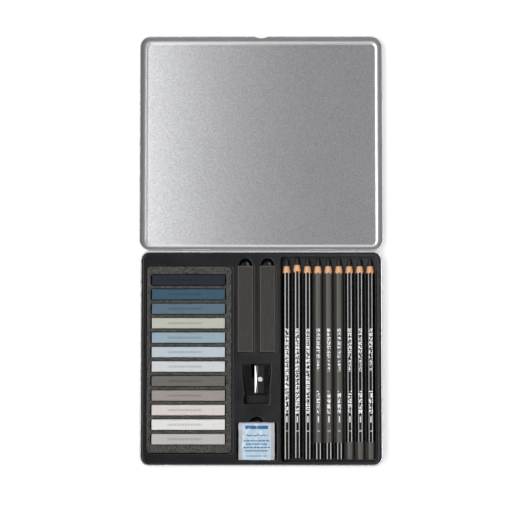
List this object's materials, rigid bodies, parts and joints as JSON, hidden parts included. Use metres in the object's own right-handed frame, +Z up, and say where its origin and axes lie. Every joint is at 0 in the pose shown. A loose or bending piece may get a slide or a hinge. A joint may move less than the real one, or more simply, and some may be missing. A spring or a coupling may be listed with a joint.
{
  "type": "drawing set",
  "caption": "Flat hinged metal tin opened flat, with a black tray of pastel sticks in foam, charcoal blocks, a sharpener, a kneadable eraser and hexagonal pencils.",
  "frame": {"origin": "on the table, under the middle of the opened tin's bounding box, close to the hinge line", "axes": "+Z up; +X along the hinge, to the right when the base is nearest the user; +Y from the base towards the opened lid"},
  "size_m": [0.2148, 0.3782, 0.014],
  "materials": {
    "tin_silver": "satin silver tinplate with a fine grain",
    "black_tray": "formed black sheet, satin",
    "grey_foam": "fine open grain foam, matt",
    "charcoal": "pressed charcoal, matt",
    "lacquer_black": "gloss black lacquer over wood",
    "lacquer_grey_black_end": "matt grey lacquer with a gloss black end",
    "lacquer_black_grey_end": "gloss black lacquer with a matt grey end",
    "pencil_core": "smooth dark core, slight sheen",
    "black_plastic": "satin black plastic",
    "blade_steel": "ground steel",
    "putty": "soft matt putty",
    "film": "crinkled glossy film",
    "pastel_dark_navy": "chalky and matt",
    "pastel_teal_blue": "chalky and matt",
    "pastel_slate_blue": "chalky and matt",
    "pastel_pale_cream": "chalky and matt",
    "pastel_light_blue": "chalky and matt",
    "pastel_pale_blue": "chalky and matt",
    "pastel_cool_white": "chalky and matt",
    "pastel_mid_grey": "chalky and matt",
    "pastel_taupe": "chalky and matt",
    "pastel_pale_pink": "chalky and matt",
    "pastel_white": "chalky and matt",
    "pastel_warm_grey": "chalky and matt"
  },
  "bodies": {
    "tin_base": {"tin_base": "tin_silver"},
    "tin_lid": {"tin_lid": "tin_silver"},
    "tray": {"tray": "black_tray", "foam_insert": "grey_foam"},
    "pastel_01": {"pastel_01": "pastel_dark_navy"},
    "pastel_02": {"pastel_02": "pastel_teal_blue"},
    "pastel_03": {"pastel_03": "pastel_slate_blue"},
    "pastel_04": {"pastel_04": "pastel_pale_cream"},
    "pastel_05": {"pastel_05": "pastel_light_blue"},
    "pastel_06": {"pastel_06": "pastel_pale_blue"},
    "pastel_07": {"pastel_07": "pastel_cool_white"},
    "pastel_08": {"pastel_08": "pastel_mid_grey"},
    "pastel_09": {"pastel_09": "pastel_taupe"},
    "pastel_10": {"pastel_10": "pastel_pale_pink"},
    "pastel_11": {"pastel_11": "pastel_white"},
    "pastel_12": {"pastel_12": "pastel_warm_grey"},
    "charcoal_block_left": {"charcoal_block_left": "charcoal"},
    "charcoal_block_right": {"charcoal_block_right": "charcoal"},
    "sharpener": {"sharpener_body": "black_plastic", "sharpener_blade": "blade_steel", "sharpener_screw": "blade_steel"},
    "eraser": {"kneadable_eraser": "putty", "eraser_wrapper": "film"},
    "pencil_1": {"pencil_1_casing": "lacquer_black", "pencil_1_lead": "pencil_core"},
    "pencil_2": {"pencil_2_casing": "lacquer_black", "pencil_2_lead": "pencil_core"},
    "pencil_3": {"pencil_3_casing": "lacquer_black", "pencil_3_lead": "pencil_core"},
    "pencil_4": {"pencil_4_casing": "lacquer_grey_black_end", "pencil_4_lead": "pencil_core"},
    "pencil_5": {"pencil_5_casing": "lacquer_grey_black_end", "pencil_5_lead": "pencil_core"},
    "pencil_6": {"pencil_6_casing": "lacquer_grey_black_end", "pencil_6_lead": "pencil_core"},
    "pencil_7": {"pencil_7_casing": "lacquer_black_grey_end", "pencil_7_lead": "pencil_core"},
    "pencil_8": {"pencil_8_casing": "lacquer_black_grey_end", "pencil_8_lead": "pencil_core"},
    "pencil_9": {"pencil_9_casing": "lacquer_black_grey_end", "pencil_9_lead": "pencil_core"}
  },
  "joints": [
    {"name": "lid_hinge", "type": "hinge", "parent": "tin_base", "child": "tin_lid", "pos_m": [0, -0.00068, 0.009], "axis": [1, 0, 0], "range_deg": [0, 180]},
    {"name": "tray_lift", "type": "slide", "parent": "tin_base", "child": "tray", "axis": [0, 0, 1], "range_m": [0, 0.04]},
    {"name": "pastel_01_lift", "type": "slide", "parent": "tray", "child": "pastel_01", "axis": [0, 0, 1], "range_m": [0, 0.03]},
    {"name": "pastel_02_lift", "type": "slide", "parent": "tray", "child": "pastel_02", "axis": [0, 0, 1], "range_m": [0, 0.03]},
    {"name": "pastel_03_lift", "type": "slide", "parent": "tray", "child": "pastel_03", "axis": [0, 0, 1], "range_m": [0, 0.03]},
    {"name": "pastel_04_lift", "type": "slide", "parent": "tray", "child": "pastel_04", "axis": [0, 0, 1], "range_m": [0, 0.03]},
    {"name": "pastel_05_lift", "type": "slide", "parent": "tray", "child": "pastel_05", "axis": [0, 0, 1], "range_m": [0, 0.03]},
    {"name": "pastel_06_lift", "type": "slide", "parent": "tray", "child": "pastel_06", "axis": [0, 0, 1], "range_m": [0, 0.03]},
    {"name": "pastel_07_lift", "type": "slide", "parent": "tray", "child": "pastel_07", "axis": [0, 0, 1], "range_m": [0, 0.03]},
    {"name": "pastel_08_lift", "type": "slide", "parent": "tray", "child": "pastel_08", "axis": [0, 0, 1], "range_m": [0, 0.03]},
    {"name": "pastel_09_lift", "type": "slide", "parent": "tray", "child": "pastel_09", "axis": [0, 0, 1], "range_m": [0, 0.03]},
    {"name": "pastel_10_lift", "type": "slide", "parent": "tray", "child": "pastel_10", "axis": [0, 0, 1], "range_m": [0, 0.03]},
    {"name": "pastel_11_lift", "type": "slide", "parent": "tray", "child": "pastel_11", "axis": [0, 0, 1], "range_m": [0, 0.03]},
    {"name": "pastel_12_lift", "type": "slide", "parent": "tray", "child": "pastel_12", "axis": [0, 0, 1], "range_m": [0, 0.03]},
    {"name": "charcoal_block_left_lift", "type": "slide", "parent": "tray", "child": "charcoal_block_left", "axis": [0, 0, 1], "range_m": [0, 0.03]},
    {"name": "charcoal_block_right_lift", "type": "slide", "parent": "tray", "child": "charcoal_block_right", "axis": [0, 0, 1], "range_m": [0, 0.03]},
    {"name": "sharpener_lift", "type": "slide", "parent": "tray", "child": "sharpener", "axis": [0, 0, 1], "range_m": [0, 0.03]},
    {"name": "eraser_lift", "type": "slide", "parent": "tray", "child": "eraser", "axis": [0, 0, 1], "range_m": [0, 0.03]},
    {"name": "pencil_1_lift", "type": "slide", "parent": "tray", "child": "pencil_1", "axis": [0, 0, 1], "range_m": [0, 0.03]},
    {"name": "pencil_2_lift", "type": "slide", "parent": "tray", "child": "pencil_2", "axis": [0, 0, 1], "range_m": [0, 0.03]},
    {"name": "pencil_3_lift", "type": "slide", "parent": "tray", "child": "pencil_3", "axis": [0, 0, 1], "range_m": [0, 0.03]},
    {"name": "pencil_4_lift", "type": "slide", "parent": "tray", "child": "pencil_4", "axis": [0, 0, 1], "range_m": [0, 0.03]},
    {"name": "pencil_5_lift", "type": "slide", "parent": "tray", "child": "pencil_5", "axis": [0, 0, 1], "range_m": [0, 0.03]},
    {"name": "pencil_6_lift", "type": "slide", "parent": "tray", "child": "pencil_6", "axis": [0, 0, 1], "range_m": [0, 0.03]},
    {"name": "pencil_7_lift", "type": "slide", "parent": "tray", "child": "pencil_7", "axis": [0, 0, 1], "range_m": [0, 0.03]},
    {"name": "pencil_8_lift", "type": "slide", "parent": "tray", "child": "pencil_8", "axis": [0, 0, 1], "range_m": [0, 0.03]},
    {"name": "pencil_9_lift", "type": "slide", "parent": "tray", "child": "pencil_9", "axis": [0, 0, 1], "range_m": [0, 0.03]}
  ]
}
